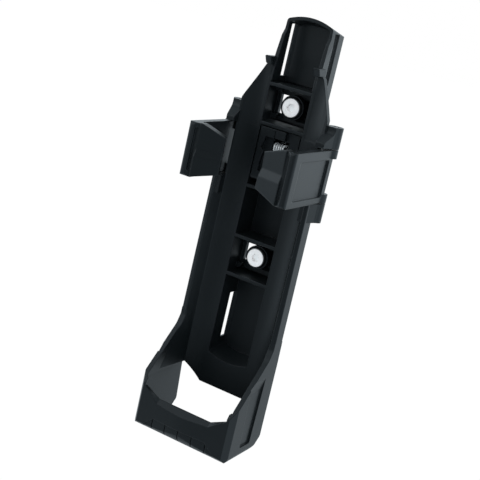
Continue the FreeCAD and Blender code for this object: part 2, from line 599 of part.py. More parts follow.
def hinge_pins():
    """Right hinge pins, each pressed into a knuckle and standing into an ear."""
    upper_low = UPPER_EAR[0] + 0.8
    upper = rod(PIN_R, vec(HINGE_X, HINGE_Y, upper_low), vec(0, 0, 1),
                UPPER_KNUCKLE[1] - PIN_RECESS - upper_low)
    low_end = LOWER_KNUCKLE[0] + PIN_RECESS
    lower = rod(PIN_R, vec(HINGE_X, HINGE_Y, low_end), vec(0, 0, 1), LOWER_EAR[1] - 0.8 - low_end)
    return upper, lower


def pressure_pad():
    """Sprung pad: flush face, rails with pivot lugs, coil window and stepped pockets."""
    low, high = PAD_Z
    face = along_y([(-PAD_HALF, low, 0.3), (PAD_HALF, low, 0.3), (PAD_HALF, high, 0.3), (-PAD_HALF, high, 0.3)],
                   PAD_FACE_Y, PAD_FACE_Y + PAD_T)
    lug = along_x([(PAD_FACE_Y + PAD_T - 0.2, PIVOT_Z - 2.4), (PIVOT_Y + 2.2, PIVOT_Z - 2.4, 2.0),
                   (PIVOT_Y + 2.2, PIVOT_Z + 2.4, 2.0), (PAD_FACE_Y + PAD_T - 0.2, PIVOT_Z + 2.4)],
                  PAD_RAIL_X, PAD_HALF)
    solid = fused([face] + both([lug]))
    window = along_y([(-3.3, 6.5, 0.5), (3.9, 6.5, 0.5), (3.9, 18.6), (-3.3, 18.6)], -2, 9)
    left = along_y([(-6.1, 18.9), (-7.3, 13.9), (-5.8, 12.6), (-6.6, 8.0), (-6.6, 4.0, 1), (3.9, 4.0, 1),
                    (3.9, 18.9)], -2, PAD_FACE_Y + 2.0)
    notch = along_y([(2.5, 14.2), (8.9, 14.2), (8.9, high + 1), (2.5, high + 1)], -2, PAD_FACE_Y + 1.8)
    step = along_y([(2.5, 8.0), (8.0, 8.0, 0.6), (8.9, 14.3), (2.5, 14.3)], -2, PAD_FACE_Y + 1.2)
    tab = box((-2.5, -2.1), (-2, PAD_FACE_Y + 0.5), (18.5, 21.9))
    heel = along_x([(-1, low - 1), (PAD_FACE_Y + 0.6, low - 1), (PAD_FACE_Y, low + 0.8), (-1, low + 0.8)],
                   -CHANNEL_OUTER, CHANNEL_OUTER)
    pivot = rod(PIVOT_R + PIN_RUNNING, vec(-12, PIVOT_Y, PIVOT_Z), vec(1, 0, 0), 24)
    for cutter in (window, left, notch, step, tab, heel, pivot):
        solid = solid.cut(cutter)
    return solid


def pivot_pin():
    """Steel pin that carries the pad and its spring."""
    return rod(PIVOT_R, vec(-PIVOT_HALF, PIVOT_Y, PIVOT_Z), vec(1, 0, 0), 2 * PIVOT_HALF)


def pad_spring():
    """Torsion spring round the pivot pin: one leg points forward into the pad, one back to the floor."""
    mean = COIL_OUTER - COIL_WIRE / 2
    pitch = 2 * COIL_HALF / COIL_TURNS
    helix = Part.makeLongHelix(pitch, 2 * COIL_HALF, mean, 0, False)
    front = Part.makeLine(vec(mean, LEG_TIP_Y - PIVOT_Y, 0), vec(mean, 0, 0))
    back = Part.makeLine(vec(mean, 0, 2 * COIL_HALF), vec(mean, FLOOR_Y - PIVOT_Y - 0.05, 2 * COIL_HALF))
    path = Part.Wire([front] + helix.Edges + [back])
    turns = [math.radians(60 * index) for index in range(6)]
    ring = [(mean + COIL_WIRE / 2 * math.cos(turn), COIL_WIRE / 2 * math.sin(turn)) for turn in turns]
    profile = wire(ring, lambda a, b: vec(a, LEG_TIP_Y - PIVOT_Y, b))
    coil = path.makePipeShell([profile], True, True)
    coil.rotate(vec(0, 0, 0), vec(0, 1, 0), -90)
    coil.translate(vec(COIL_HALF, PIVOT_Y, PIVOT_Z))
    return coil


def screw():
    """Socket-head screw: chamfered head, hexagon recess and plain shank."""
    head = rod(HEAD_R, vec(0, HEAD_TOP_Y, 0), vec(0, 1, 0), HEAD_H)
    head = head.makeChamfer(0.35, [edge for edge in head.Edges if abs(edge.CenterOfMass.y - HEAD_TOP_Y) < 1e-4])
    free_end = SEAT_Y + SHANK_FREE
    neck = rod(SHANK_NECK_R, vec(0, HEAD_TOP_Y + 1, 0), vec(0, 1, 0), SEAT_Y - HEAD_TOP_Y)
    shank = rod(SHANK_R, vec(0, SEAT_Y, 0), vec(0, 1, 0), SHANK_FREE)
    shank = shank.makeChamfer(0.5, [edge for edge in shank.Edges if abs(edge.CenterOfMass.y - free_end) < 1e-4])
    reach = HEX_AF / math.sqrt(3)
    turns = [math.radians(60 * index) for index in range(6)]
    corners = [(reach * math.cos(turn), reach * math.sin(turn)) for turn in turns]
    recess = along_y(corners, HEAD_TOP_Y - 1, HEAD_TOP_Y + HEX_DEPTH)
    return fused([head, neck, shank]).cut(recess)


def export(name, shape):
    """Moves a sub-part to the frame's origin and writes its file."""
    placed = shape.copy()
    placed.translate(vec(0, -SEAT_Y, 0))
    solid = placed if placed.ShapeType == "Solid" else placed.Solids[0]
    print(name, "solids", len(placed.Solids), "valid", placed.isValid(), "volume", round(placed.Volume, 1))
    solid.exportStep(os.path.join("parts", name + ".step"))


def main():
    """Builds every sub-part."""
    os.makedirs("parts", exist_ok=True)
    export("cradle", cradle())
    right_flap = flap()
    export("right_flap", right_flap)
    export("left_flap", mirrored(right_flap))
    upper_pin, lower_pin = hinge_pins()
    export("right_upper_hinge_pin", upper_pin)
    export("right_lower_hinge_pin", lower_pin)
    export("left_upper_hinge_pin", mirrored(upper_pin))
    export("left_lower_hinge_pin", mirrored(lower_pin))
    export("pressure_pad", pressure_pad())
    export("pad_pivot_pin", pivot_pin())
    export("pad_spring", pad_spring())
    for name, height in (("upper_screw", SCREW_Z), ("lower_screw", -SCREW_Z)):
        fitted = screw()
        fitted.translate(vec(0, 0, height))
        export(name, fitted)


main()
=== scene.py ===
"""Looks of a bicycle bracket that carries a folded lock.

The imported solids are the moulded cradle, its two flaps, the sprung pad and the steel pins. This script
gives them their finishes, winds a smooth pad spring, turns the two screws with hexagon recess and
thread, and sets the bracket in a plain pale studio at the photograph's angle.
"""
import logging
import math
from dataclasses import dataclass, field
from enum import Enum
from typing import Any, Dict, List, Optional, Sequence, Tuple, Union

import bpy
from mathutils import Matrix, Vector

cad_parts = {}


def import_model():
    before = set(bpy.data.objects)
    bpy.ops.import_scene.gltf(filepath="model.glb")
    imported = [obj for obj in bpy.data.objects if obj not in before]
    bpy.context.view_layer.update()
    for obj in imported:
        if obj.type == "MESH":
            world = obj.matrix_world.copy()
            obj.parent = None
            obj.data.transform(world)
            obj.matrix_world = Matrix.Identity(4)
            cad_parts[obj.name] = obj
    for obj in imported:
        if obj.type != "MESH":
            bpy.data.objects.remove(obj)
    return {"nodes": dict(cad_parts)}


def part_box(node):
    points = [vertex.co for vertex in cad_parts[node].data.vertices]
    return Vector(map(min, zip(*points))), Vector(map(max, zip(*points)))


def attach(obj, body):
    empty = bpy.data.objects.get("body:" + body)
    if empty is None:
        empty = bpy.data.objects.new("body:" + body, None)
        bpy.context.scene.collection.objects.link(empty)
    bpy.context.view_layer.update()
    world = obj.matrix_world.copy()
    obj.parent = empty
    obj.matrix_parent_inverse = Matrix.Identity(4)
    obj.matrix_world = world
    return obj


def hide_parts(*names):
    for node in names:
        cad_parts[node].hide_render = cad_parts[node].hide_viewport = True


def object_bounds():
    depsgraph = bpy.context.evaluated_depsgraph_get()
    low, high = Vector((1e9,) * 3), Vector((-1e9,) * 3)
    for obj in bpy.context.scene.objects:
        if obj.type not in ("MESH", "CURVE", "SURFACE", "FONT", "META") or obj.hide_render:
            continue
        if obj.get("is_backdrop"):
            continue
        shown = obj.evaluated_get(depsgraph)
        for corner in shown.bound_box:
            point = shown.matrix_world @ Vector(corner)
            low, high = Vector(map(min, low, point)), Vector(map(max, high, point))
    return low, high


LOG = logging.getLogger("lock_bracket")
MM = 0.001
TURN = 2 * math.pi
CREASE = math.radians(32)
WHITE = (1.0, 1.0, 1.0)

Vec3 = Tuple[float, float, float]
Span = Tuple[float, float]
Value = Union[float, int, "Flow"]


class Body(Enum):
    """Bodies of the frame that added pieces ride on."""

    CRADLE = "cradle"


class Slot(Enum):
    """Material slot names passed along with added pieces; nothing reads them."""

    SPRING = "spring_steel"
    SCREW = "screw_steel"


class Round(Enum):
    """Form of one ring of a turned piece."""

    CIRCLE = 0
    HEXAGON = 1


class Flow:
    """An output socket that can be used in sums, products and comparisons."""

    def __init__(self, graph: "Graph", socket: Optional[bpy.types.NodeSocket]) -> None:
        """Keeps the socket with the graph that it belongs to.

        Args:
            graph: Graph that new Math nodes are added to.
            socket: Output socket, or None for a node without outputs.
        """
        self.graph = graph
        self.socket = socket

    def _math(self, operation: str, *values: Value) -> "Flow":
        """Adds one Math node.

        Args:
            operation: Name of the Math node's operation.
            values: Its inputs, in order.

        Returns:
            The node's output.
        """
        return self.graph.add("ShaderNodeMath", {"operation": operation}, dict(enumerate(values)))

    def __add__(self, other: Value) -> "Flow":
        """Sum."""
        return self._math("ADD", self, other)

    __radd__ = __add__

    def __sub__(self, other: Value) -> "Flow":
        """Difference."""
        return self._math("SUBTRACT", self, other)

    def __rsub__(self, other: Value) -> "Flow":
        """Difference with a number first."""
        return self._math("SUBTRACT", other, self)

    def __mul__(self, other: Value) -> "Flow":
        """Product."""
        return self._math("MULTIPLY", self, other)

    __rmul__ = __mul__

    def __truediv__(self, other: Value) -> "Flow":
        """Quotient."""
        return self._math("DIVIDE", self, other)

    def smallest(self, other: Value) -> "Flow":
        """Smaller of two values."""
        return self._math("MINIMUM", self, other)

    def largest(self, other: Value) -> "Flow":
        """Larger of two values."""
        return self._math("MAXIMUM", self, other)

    def within(self) -> "Flow":
        """The value held between 0 and 1."""
        return self.largest(0.0).smallest(1.0)

    def sine(self) -> "Flow":
        """Sine of an angle."""
        return self._math("SINE", self)

    def cosine(self) -> "Flow":
        """Cosine of an angle."""
        return self._math("COSINE", self)

    def step(self, low: float, high: float) -> "Flow":
        """Smooth step from 0 at low to 1 at high.

        Args:
            low: Value where the step starts.
            high: Value where it ends.

        Returns:
            The step.
        """
        share = ((self - low) / (high - low)).within()
        return share * share * (3.0 - 2.0 * share)

    def spread(self, middle: float, reach: float) -> "Flow":
        """A value that runs from 0 to 1, laid out evenly about another.

        Args:
            middle: Result at one half.
            reach: How far the result goes to each side.

        Returns:
            The laid out value.
        """
        return middle + (self - 0.5) * reach * 2.0

    def sibling(self, name: str) -> "Flow":
        """Another output of the same node, by its name."""
        return Flow(self.graph, self.socket.node.outputs[name])


class Graph:
    """A node tree of a material, a world or a Geometry Nodes modifier."""

    def __init__(self, tree: bpy.types.NodeTree) -> None:
        """Wraps a tree.

        Args:
            tree: Tree that nodes are added to.
        """
        self.tree = tree

    def add(self, kind: str, settings: Optional[Dict[str, Any]] = None,
            inputs: Optional[Dict[Union[str, int], Any]] = None, output: Union[str, int] = 0) -> Flow:
        """Adds a node of any type.

        Args:
            kind: The node's type.
            settings: Properties of the node, set before its sockets.
            inputs: Values or links of its sockets, by name or number.
            output: Name or number of the output that is returned.

        Returns:
            The chosen output.
        """
        node = self.tree.nodes.new(kind)
        for name, value in (settings or {}).items():
            setattr(node, name, value)
        for name, value in (inputs or {}).items():
            if isinstance(value, Flow):
                self.tree.links.new(value.socket, node.inputs[name])
            else:
                node.inputs[name].default_value = value
        return Flow(self, node.outputs[output] if len(node.outputs) else None)

    def point(self, x: Value, y: Value, z: Value) -> Flow:
        """A vector from three values.

        Args:
            x: First part.
            y: Second part.
            z: Third part.

        Returns:
            The vector.
        """
        return self.add("ShaderNodeCombineXYZ", None, {"X": x, "Y": y, "Z": z})

    def noise(self, place: Flow, scale: float, detail: float, roughness: float) -> Flow:
        """Noise through space.

        Args:
            place: Where it is read.
            scale: Waves in each metre.
            detail: How many finer layers are added.
            roughness: Strength of each finer layer.

        Returns:
            The noise, from 0 to 1.
        """
        return self.add("ShaderNodeTexNoise", {"noise_dimensions": "3D"},
                        {"Vector": place, "Scale": scale, "Detail": detail, "Roughness": roughness})

    def blend(self, share: Flow, first: Vec3, second: Vec3) -> Flow:
        """A colour between two others.

        Args:
            share: 0 for the first colour, 1 for the second.
            first: First colour.
            second: Second colour.

        Returns:
            The colour.
        """
        return self.add("ShaderNodeMix", {"data_type": "RGBA"},
                        {"Factor": share, "A": (*first, 1.0), "B": (*second, 1.0)}, "Result")


def new_material(name: str) -> Tuple[bpy.types.Material, Graph]:
    """Makes an empty node material.

    Args:
        name: Name of the material.

    Returns:
        The material and its graph.
    """
    material = bpy.data.materials.new(name)
    material.use_nodes = True
    material.node_tree.nodes.clear()
    return material, Graph(material.node_tree)


def finish(graph: Graph, inputs: Dict[str, Any]) -> None:
    """Ends a material with its shader.

    Args:
        graph: The material's graph.
        inputs: Values or links of the shader's sockets.
    """
    shader = graph.add("ShaderNodeBsdfPrincipled", None, inputs, "BSDF")
    graph.add("ShaderNodeOutputMaterial", None, {"Surface": shader})


def add_piece(mesh: bpy.types.Mesh) -> bpy.types.Object:
    """Puts a mesh in the scene as a piece of the same name, at the origin."""
    piece = bpy.data.objects.new(mesh.name, mesh)
    bpy.context.scene.collection.objects.link(piece)
    return piece


def new_mesh(name: str, points: Sequence[Sequence[float]],
             faces: Sequence[Sequence[int]]) -> bpy.types.Object:
    """Makes a piece from points and faces.

    Args:
        name: Name of the piece.
        points: Places in metres.
        faces: Corners of each face.

    Returns:
        The piece, at the origin.
    """
    mesh = bpy.data.meshes.new(name)
    mesh.from_pydata(points, [], faces)
    mesh.update()
    return add_piece(mesh)


def paint(piece: bpy.types.Object, *materials: bpy.types.Material) -> None:
    """Gives a piece its materials.

    Args:
        piece: The piece.
        materials: Its finishes, in the order of its faces' material numbers.
    """
    piece.data.materials.clear()
    for material in materials:
        piece.data.materials.append(material)


def sharpen(piece: bpy.types.Object) -> None:
    """Shades a piece smooth except across its sharp edges."""
    piece.data.polygons.foreach_set("use_smooth", [True] * len(piece.data.polygons))
    piece.data.set_sharp_from_angle(angle=CREASE)


def seat(piece: bpy.types.Object, body: Body, slot: Slot, *replaced: str) -> None:
    """Hands a finished piece to the frame.

    Args:
        piece: The piece, in place.
        body: Body that it moves with.
        slot: Material slot; not used.
        replaced: Nodes that it stands for.
    """
    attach(piece, body.value)
    if replaced:
        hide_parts(*replaced)
    LOG.info("%s: %d faces on %s", piece.name, len(piece.data.polygons), body.value)


@dataclass(frozen=True)
class Moulding:
    """Satin black plastic with a fine spark-eroded grain, softened edges and faint handling marks."""

    name: str
    base: Vec3 = (0.0062, 0.0080, 0.0090)
    worn: Vec3 = (0.0088, 0.0110, 0.0122)
    tint: Vec3 = (0.84, 0.93, 1.0)
    refraction: float = 1.5
    roughness: float = 0.36
    roughness_spread: float = 0.07
    grain_per_m: float = 5200.0
    grain_detail: float = 1.0
    grain_roughness: float = 0.5
    grain_height: float = 0.012 * MM
    grain_strength: float = 0.35
    cloud_per_m: float = 26.0
    cloud_detail: float = 4.0
    cloud_roughness: float = 0.6
    handled_fade: Span = (0.42, 0.70)
    handled_share: float = 0.5
    edge_radius: float = 0.35 * MM
    edge_samples: int = 8

    def material(self) -> bpy.types.Material:
        """Builds the material.

        Returns:
            The material.
        """
        material, graph = new_material(self.name)
        place = graph.add("ShaderNodeTexCoord", output="Object")
        grain = graph.noise(place, self.grain_per_m, self.grain_detail, self.grain_roughness)
        cloud = graph.noise(place, self.cloud_per_m, self.cloud_detail, self.cloud_roughness)
        handled = cloud.step(*self.handled_fade)
        colour = graph.blend(handled * self.handled_share, self.base, self.worn)
        edges = graph.add("ShaderNodeBevel", {"samples": self.edge_samples}, {"Radius": self.edge_radius})
        normal = graph.add("ShaderNodeBump", None,
                           {"Strength": self.grain_strength, "Distance": self.grain_height,
                            "Height": grain, "Normal": edges})
        finish(graph, {"Base Color": colour, "Roughness": cloud.spread(self.roughness, self.roughness_spread),
                       "Normal": normal, "Specular Tint": (*self.tint, 1.0), "IOR": self.refraction})
        return material


@dataclass(frozen=True)
class BrightSteel:
    """Plated steel with faint turning marks; its default near-white, non-metallic colour is a painted
    reflection.
    """

    name: str
    # Default base is near-white and not metallic: the steel's bright reflection is painted into its colour.
    base: Vec3 = (0.99, 0.945, 0.93)
    metallic: float = 0.0
    roughness: float = 0.28
    roughness_spread: float = 0.03
    mark_per_m: float = 420.0
    mark_detail: float = 3.0
    mark_roughness: float = 0.6
    edge_radius: float = 0.10 * MM
    edge_samples: int = 4

    def material(self) -> bpy.types.Material:
        """Builds the material.

        Returns:
            The material.
        """
        material, graph = new_material(self.name)
        place = graph.add("ShaderNodeTexCoord", output="Object")
        marks = graph.noise(place, self.mark_per_m, self.mark_detail, self.mark_roughness)
        edges = graph.add("ShaderNodeBevel", {"samples": self.edge_samples}, {"Radius": self.edge_radius})
        finish(graph, {"Base Color": (*self.base, 1.0), "Metallic": self.metallic,
                       "Roughness": marks.spread(self.roughness, self.roughness_spread), "Normal": edges})
        return material


@dataclass
class Helix:
    """A wire wound on an axis, made by a Geometry Nodes tree with named inputs.

    It winds along X with straight legs in Y at both ends, or along Y without legs. With a run-out the
    first and last turn start that much nearer to the axis.
    """

    name: str
    centre: Vec3
    radius: float
    turns: float
    length: float
    wire: float
    sides: int
    steps_per_turn: int
    first_leg: float = 0.0
    last_leg: float = 0.0
    along_y: bool = False
    run_out: float = 0.0
    round_sides: int = 6

    def _place(self, graph: Graph, sizes: Dict[str, Flow]) -> Flow:
        """Where each point of the wire's middle line goes.

        Args:
            graph: The tree's graph.
            sizes: The tree's inputs, by name.

        Returns:
            The places.
        """
        turns, radius, length = sizes["Turns"], sizes["Winding radius"], sizes["Length"]
        share = graph.add("GeometryNodeSplineParameter", output="Factor")
        coil = radius * turns * TURN
        walked = share * (coil + sizes["First leg"] + sizes["Last leg"]) - sizes["First leg"]
        angle = (walked / coil).within() * turns * TURN
        advance = angle / (turns * TURN) * length
        ends = (share * turns).smallest((1.0 - share) * turns).step(0.0, 1.0)
        swing = radius - sizes["Run-out"] * (1.0 - ends)
        if self.along_y:
            wound = graph.point(angle.sine() * swing, advance, angle.cosine() * swing)
        else:
            leg = walked.smallest(0.0) + (walked - coil).largest(0.0)
            wound = graph.point(length * 0.5 - advance, angle.sine() * swing + leg, angle.cosine() * swing)
        return graph.add("ShaderNodeVectorMath", {"operation": "ADD"}, {0: wound, 1: sizes["Centre"]})

    def _count(self) -> int:
        """Number of points along the wire, with the same spacing on its legs as on its turns."""
        coil = self.turns * TURN * self.radius
        return int(self.turns * self.steps_per_turn * (coil + self.first_leg + self.last_leg) / coil) + 1

    def build(self, material: bpy.types.Material) -> bpy.types.Object:
        """Winds the wire and turns the result into a plain mesh.

        Args:
            material: Finish of the wire.

        Returns:
            The piece, at the origin.
        """
        tree = bpy.data.node_groups.new(self.name + "_winding", "GeometryNodeTree")
        for direction in ("INPUT", "OUTPUT"):
            tree.interface.new_socket(name="Geometry", in_out=direction, socket_type="NodeSocketGeometry")
        graph = Graph(tree)
        entry = graph.add("NodeGroupInput")
        numbers = {"Winding radius": self.radius, "Turns": self.turns, "Length": self.length,
                   "Wire radius": self.wire / 2, "First leg": self.first_leg,
                   "Last leg": self.last_leg, "Run-out": self.run_out}
        kinds = [(name, "NodeSocketFloat", value) for name, value in numbers.items()]
        kinds.append(("Centre", "NodeSocketVector", self.centre))
        chosen: Dict[str, Any] = {}
        sizes: Dict[str, Flow] = {}
        for name, kind, value in kinds:
            socket = tree.interface.new_socket(name=name, in_out="INPUT", socket_type=kind)
            chosen[socket.identifier] = value
            sizes[name] = entry.sibling(name)

        line = graph.add("GeometryNodeCurvePrimitiveLine")
        line = graph.add("GeometryNodeResampleCurve", None, {"Curve": line, "Count": self._count()})
        line = graph.add("GeometryNodeSetPosition", None,
                         {"Geometry": line, "Position": self._place(graph, sizes)})
        ring = graph.add("GeometryNodeCurvePrimitiveCircle", {"mode": "RADIUS"},
                         {"Resolution": self.sides, "Radius": sizes["Wire radius"]})
        tube = graph.add("GeometryNodeCurveToMesh", None,
                         {"Curve": line, "Profile Curve": ring, "Fill Caps": True})
        tube = graph.add("GeometryNodeSetShadeSmooth", None,
                         {"Geometry": tube, "Shade Smooth": self.sides >= self.round_sides})
        tube = graph.add("GeometryNodeRealizeInstances", None, {"Geometry": tube})
        tube = graph.add("GeometryNodeSetMaterial", None, {"Geometry": tube, "Material": material})
        graph.add("NodeGroupOutput", None, {"Geometry": tube})
        return bake_nodes(self.name, tree, chosen)


def bake_nodes(name: str, tree: bpy.types.NodeTree, chosen: Dict[str, Any]) -> bpy.types.Object:
    """Runs a Geometry Nodes tree and keeps its result as a plain mesh.

    Args:
        name: Name of the piece.
        tree: The tree.
        chosen: Values of its inputs, by identifier.

    Returns:
        The piece, at the origin.
    """
    host = add_piece(bpy.data.meshes.new(name + "_host"))
    modifier = host.modifiers.new("winding", "NODES")
    modifier.node_group = tree
    for identifier, value in chosen.items():
        modifier[identifier] = value
    bpy.context.view_layer.update()
    graph = bpy.context.evaluated_depsgraph_get()
    mesh = bpy.data.meshes.new_from_object(host.evaluated_get(graph))
    mesh.name = name
    host.modifiers.remove(modifier)
    bpy.data.objects.remove(host)
    return add_piece(mesh)


@dataclass
class Mouldings:
    """The cradle, the flaps and the pad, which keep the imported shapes."""

    body: Moulding = field(default_factory=lambda: Moulding("cradle_moulding"))
    flap: Moulding = field(default_factory=lambda: Moulding(
        "flap_moulding", roughness=0.32, edge_radius=0.8 * MM))
    pad: Moulding = field(default_factory=lambda: Moulding("pad_moulding", roughness=0.40))

    def dress(self, nodes: Dict[str, bpy.types.Object]) -> None:
        """Gives each moulding its finish.

        Args:
            nodes: The frame's nodes.
        """
        flap = self.flap.material()
        for name, material in (("cradle", self.body.material()), ("left_flap", flap),
                               ("right_flap", flap), ("pressure_pad", self.pad.material())):
            paint(nodes[name], material)
            LOG.info("%s takes %s", name, material.name)


@dataclass
class Pins:
    """Hinge pins and the pad's pivot pin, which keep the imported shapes."""

    hinge: BrightSteel = field(default_factory=lambda: BrightSteel("pin_steel_drawn", roughness=0.34))
    pivot: BrightSteel = field(default_factory=lambda: BrightSteel(
        "pivot_steel_dull", base=(0.16, 0.165, 0.17), metallic=1.0, roughness=0.4))
    hinge_pins: Tuple[str, ...] = ("left_upper_hinge_pin", "left_lower_hinge_pin",
                                   "right_upper_hinge_pin", "right_lower_hinge_pin")

    def dress(self, nodes: Dict[str, bpy.types.Object]) -> None:
        """Gives the pins their finish.

        Args:
            nodes: The frame's nodes.
        """
        material = self.hinge.material()
        for name in self.hinge_pins:
            paint(nodes[name], material)
        paint(nodes["pad_pivot_pin"], self.pivot.material())
        LOG.info("%d hinge pins take %s", len(self.hinge_pins), material.name)


@dataclass
class PadSpring:
    """Torsion spring behind the pad: one leg forward into the pad, one back to the floor."""

    wire: float = 0.70 * MM
    outer_radius: float = 2.2 * MM
    turns: float = 5.0
    sides: int = 12
    steps_per_turn: int = 40
    steel: BrightSteel = field(default_factory=lambda: BrightSteel(
        "spring_steel_wire", base=(0.95, 0.96, 0.97), metallic=0.55, roughness=0.22))

    def build(self, body: Body) -> None:
        """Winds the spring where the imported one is.

        Args:
            body: Body that it rides on.
        """
        low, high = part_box("pad_spring")
        pin_low, pin_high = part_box("pad_pivot_pin")
        axis = (pin_low + pin_high) / 2
        winding = Helix("pad_spring_wound", ((low.x + high.x) / 2, axis.y, axis.z),
                        self.outer_radius - self.wire / 2, self.turns, high.x - low.x - self.wire,
                        self.wire, self.sides, self.steps_per_turn,
                        first_leg=axis.y - low.y, last_leg=high.y - axis.y)
        seat(winding.build(self.steel.material()), body, Slot.SPRING, "pad_spring")


@dataclass
class Screws:
    """Two socket-head screws with a thread on the part that stands out behind, their steel in painted lit and
    shaded copies.
    """

    head_radius: float = 4.2 * MM
    head_height: float = 3.5 * MM
    key: float = 3.0 * MM
    key_depth: float = 1.6 * MM
    key_chamfer: float = 0.18 * MM
    key_chamfer_depth: float = 0.25 * MM
    key_lip_depth: float = 0.02 * MM
    key_land: float = 0.75 * MM
    flat_inset: float = 1.1 * MM
    rim_inset: float = 0.50 * MM
    rim_drop: float = 0.05 * MM
    shoulder_inset: float = 0.20 * MM
    shoulder_drop: float = 0.22 * MM
    crown_drop: float = 0.60 * MM
    under_chamfer: float = 0.15 * MM
    neck_radius: float = 2.0 * MM
    core_radius: float = 2.12 * MM
    crest_radius: float = 2.5 * MM
    pitch: float = 0.8 * MM
    tip_chamfer: float = 0.45 * MM
    thread_start_pitches: float = 0.5
    thread_short_pitches: float = 1.6
    thread_sides: int = 4
    thread_steps_per_turn: int = 36
    points: int = 60
    # First row of faces that takes the darker steel copy, which is painted shade.
    first_painted_shade_row: int = 5
    # One steel in three tones: the near-white face is a painted reflection, the darker metallic copy is
    # painted shade on the head's rim and side and on the thread, and the white recess floor is a painted
    # highlight.
    steel: BrightSteel = field(default_factory=lambda: BrightSteel("screw_steel_painted_lit"))
    painted_shade_steel: BrightSteel = field(default_factory=lambda: BrightSteel(
        "screw_steel_painted_shade", base=(0.40, 0.41, 0.42), metallic=1.0, roughness=0.38))
    recess: BrightSteel = field(default_factory=lambda: BrightSteel(
        "screw_recess_painted_highlight", base=WHITE, roughness=0.2))

    def _ring(self, form: Round, radius: float, y: float, centre_z: float) -> List[Vec3]:
        """One ring of points round the screw's axis.

        Args:
            form: Circle or hexagon.
            radius: Radius, or half the hexagon's width across flats.
            y: Place along the axis.
            centre_z: Height of the axis.

        Returns:
            The points.
        """
        ring = []
        for index in range(self.points):
            angle = TURN * index / self.points
            reach = radius
            if form is Round.HEXAGON:
                reach = radius / math.cos((angle + TURN / 12) % (TURN / 6) - TURN / 12)
            ring.append((reach * math.sin(angle), y, centre_z + reach * math.cos(angle)))
        return ring

    def _profile(self, face: float, tip: float) -> List[Tuple[Round, float, float]]:
        """The screw's rings, from the floor of the recess over the head to the tip.

        Args:
            face: Place of the head's face along the axis.
            tip: Place of the tip.

        Returns:
            Form, radius and place along the axis of each ring.
        """
        circle, hexagon = Round.CIRCLE, Round.HEXAGON
        key, head, under = self.key / 2, self.head_radius, face + self.head_height
        return [
            (hexagon, key, face + self.key_depth),
            (hexagon, key, face + self.key_chamfer_depth),
            (hexagon, key + self.key_chamfer, face + self.key_lip_depth),
            (circle, key + self.key_land, face),
            (circle, head - self.flat_inset, face),
            (circle, head - self.rim_inset, face + self.rim_drop),
            (circle, head - self.shoulder_inset, face + self.shoulder_drop),
            (circle, head, face + self.crown_drop),
            (circle, head, under - self.under_chamfer),
            (circle, head - self.under_chamfer, under),
            (circle, self.neck_radius, under),
            (circle, self.neck_radius, 0.0),
            (circle, self.core_radius, 0.0),
            (circle, self.core_radius, tip - self.tip_chamfer),
            (circle, self.core_radius - self.tip_chamfer, tip),
        ]

    def _turned(self, name: str, face: float, tip: float, centre_z: float) -> bpy.types.Object:
        """The screw without its thread, as one closed skin.

        Args:
            name: Name of the piece.
            face: Place of the head's face along the axis.
            tip: Place of the tip.
            centre_z: Height of the axis.

        Returns:
            The piece, whose last two faces are the floor of the recess and the tip.
        """
        rings = self._profile(face, tip)
        points: List[Vec3] = []
        for form, radius, y in rings:
            points += self._ring(form, radius, y, centre_z)
        count = self.points
        faces: List[Sequence[int]] = []
        for row in range(len(rings) - 1):
            for index in range(count):
                following = (index + 1) % count
                faces.append((row * count + index, row * count + following,
                              (row + 1) * count + following, (row + 1) * count + index))
        faces.append(tuple(reversed(range(count))))
        faces.append(tuple(range((len(rings) - 1) * count, len(rings) * count)))
        return new_mesh(name, points, faces)

    def build(self, body: Body) -> None:
        """Makes both screws and their threads.

        Args:
            body: Body that they ride on.
        """
        # Lit face, painted shade and painted highlight copies of the one screw steel.
        painted_lit_steel, painted_shade_steel, recess = (steel.material() for steel in (self.steel, self.painted_shade_steel, self.recess))
        for name in ("upper_screw", "lower_screw"):
            low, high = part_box(name)
            centre_z = (low.z + high.z) / 2
            turned = self._turned(name + "_turned", low.y, high.y, centre_z)
            paint(turned, painted_lit_steel, painted_shade_steel, recess)
            # Rim, side and shank take the darker copy: painted shade.
            for face in turned.data.polygons[self.first_painted_shade_row * self.points:]:
                face.material_index = 1
            # The floor of the recess takes the white copy: painted highlight.
            turned.data.polygons[-2].material_index = 2
            sharpen(turned)
            seat(turned, body, Slot.SCREW, name)
            length = high.y - self.thread_short_pitches * self.pitch
            depth = self.crest_radius - self.core_radius
            thread = Helix(name + "_thread", (0.0, self.thread_start_pitches * self.pitch, centre_z),
                           self.core_radius, length / self.pitch, length, 2 * depth,
                           self.thread_sides, self.thread_steps_per_turn, along_y=True, run_out=depth)
            seat(thread.build(painted_shade_steel), body, Slot.SCREW)


@dataclass(frozen=True)
class PhotoCamera:
    """Camera at the photograph's place and angle."""

    place_mm: Vec3 = (186.08, -398.91, 83.00)
    right: Vec3 = (0.84458, 0.48864, 0.21890)
    down: Vec3 = (0.30980, -0.11252, -0.94412)
    focal_px: float = 1066.14
    frame_px: float = 480.0
    sensor_mm: float = 36.0
    clip: Span = (0.01, 20.0)

    def build(self) -> None:
        """Makes the camera and puts the scene on it."""
        data = bpy.data.cameras.new("photo_camera")
        data.sensor_width = self.sensor_mm
        data.lens = self.focal_px / self.frame_px * self.sensor_mm
        data.clip_start, data.clip_end = self.clip
        camera = bpy.data.objects.new("photo_camera", data)
        bpy.context.scene.collection.objects.link(camera)
        right, down = Vector(self.right).normalized(), Vector(self.down).normalized()
        forward = right.cross(down).normalized()
        up = right.cross(forward).normalized()
        turned = Matrix((right, up, -forward)).transposed().to_4x4()
        camera.matrix_world = Matrix.Translation(Vector(self.place_mm) * MM) @ turned
        bpy.context.scene.camera = camera
        LOG.info("camera lens %.2f mm", data.lens)


